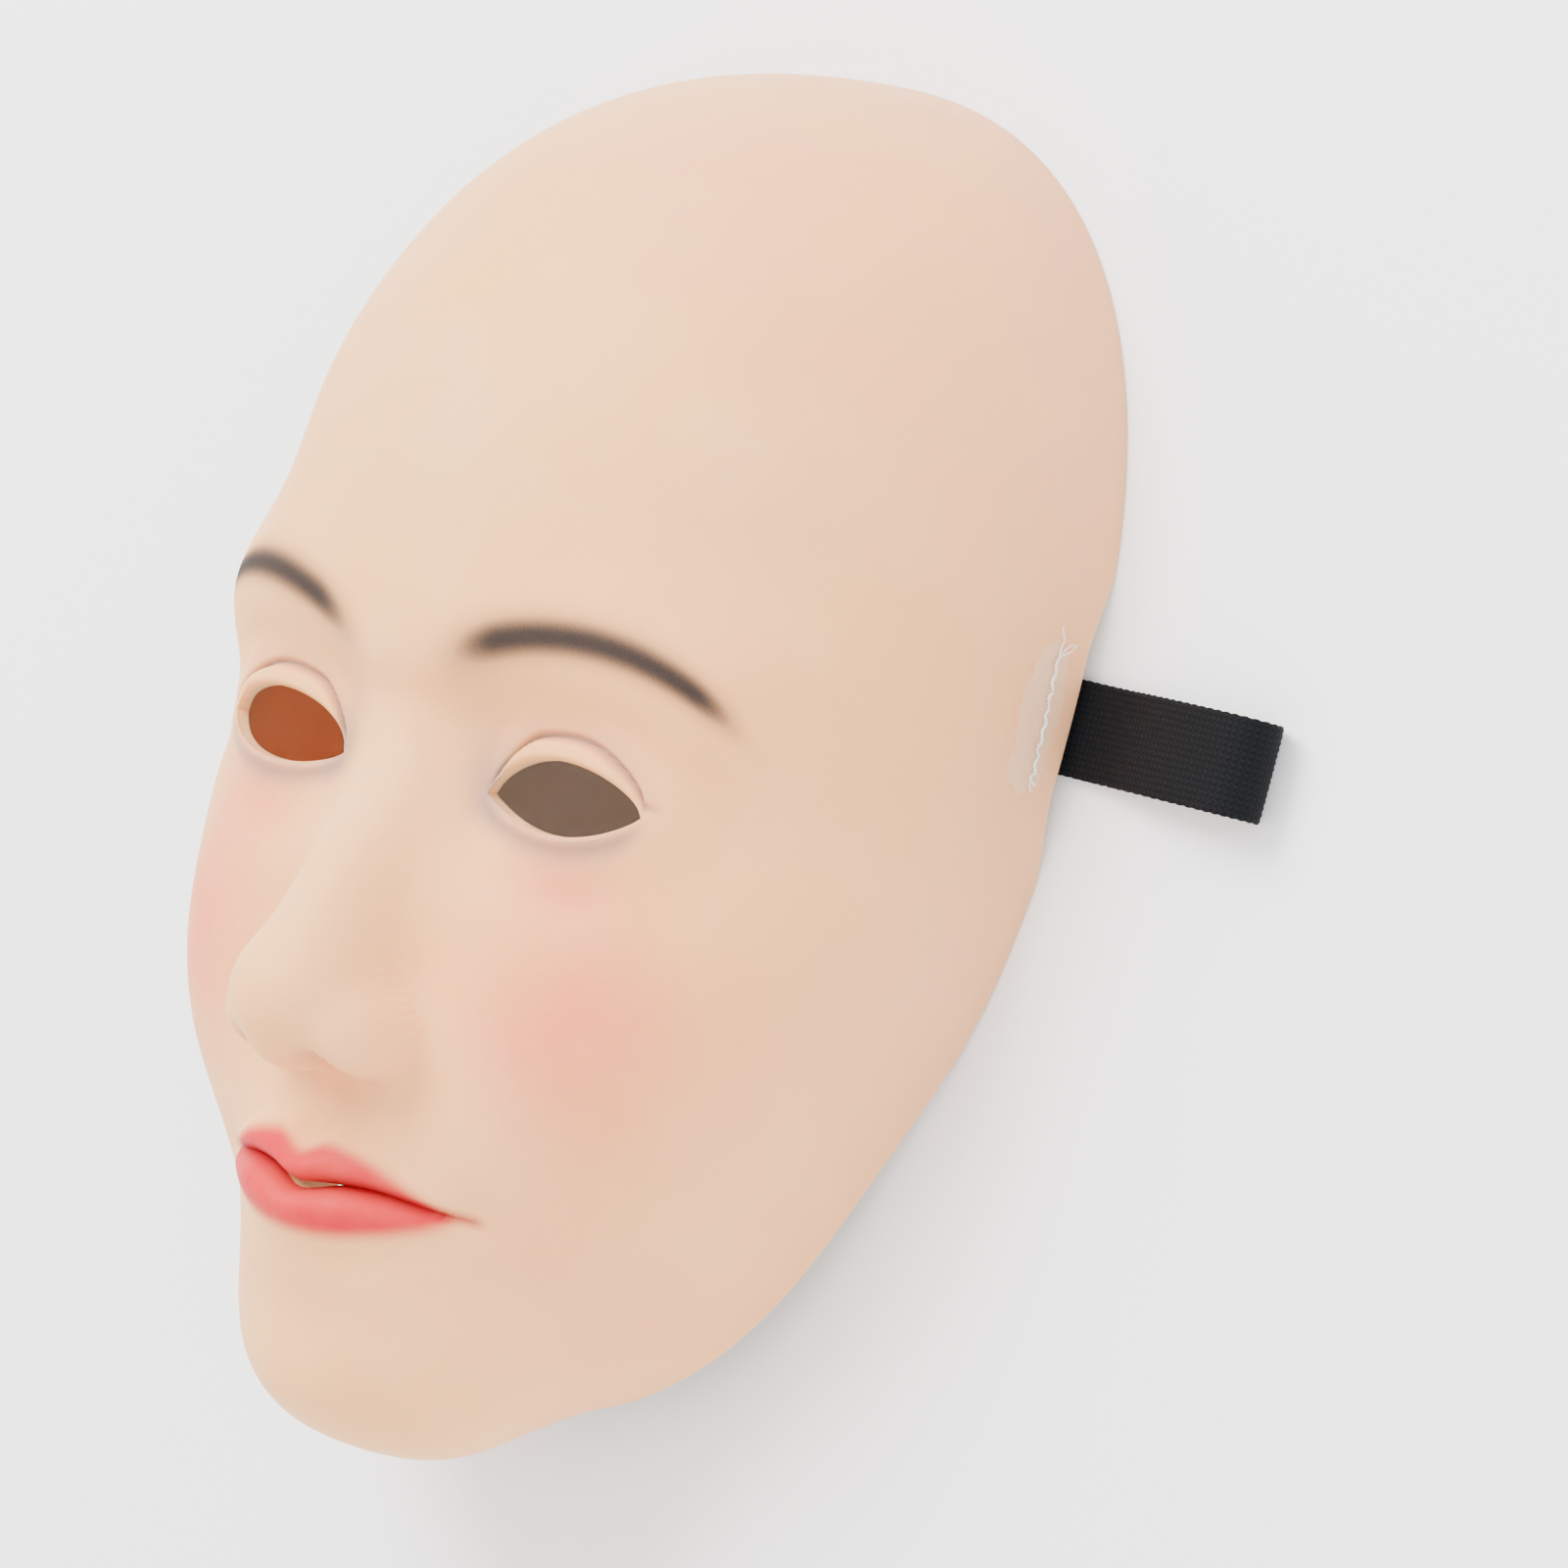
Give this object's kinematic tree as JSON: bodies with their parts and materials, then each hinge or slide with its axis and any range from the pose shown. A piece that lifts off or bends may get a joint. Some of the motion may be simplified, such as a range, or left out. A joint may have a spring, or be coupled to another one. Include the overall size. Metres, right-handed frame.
{
  "type": "latex face mask",
  "caption": "Painted latex face mask with open eye holes and a breathing slit, trimmed along a thin rim and fitted with a flat elastic head strap.",
  "frame": {"origin": "on the floor, under the middle of the whole part's bounding box", "axes": "+Y towards the crown of the mask, +Z out of the face, +X towards the wearer's left"},
  "size_m": [0.1956, 0.2424, 0.0923],
  "materials": {
    "latex": "painted skin tone, satin",
    "elastic": "black woven elastic, matte",
    "thread": "off-white sewing thread"
  },
  "bodies": {
    "root": {"mask_shell": "latex", "elastic_strap": "elastic", "left_stitching": "thread", "right_stitching": "thread"}
  },
  "joints": []
}
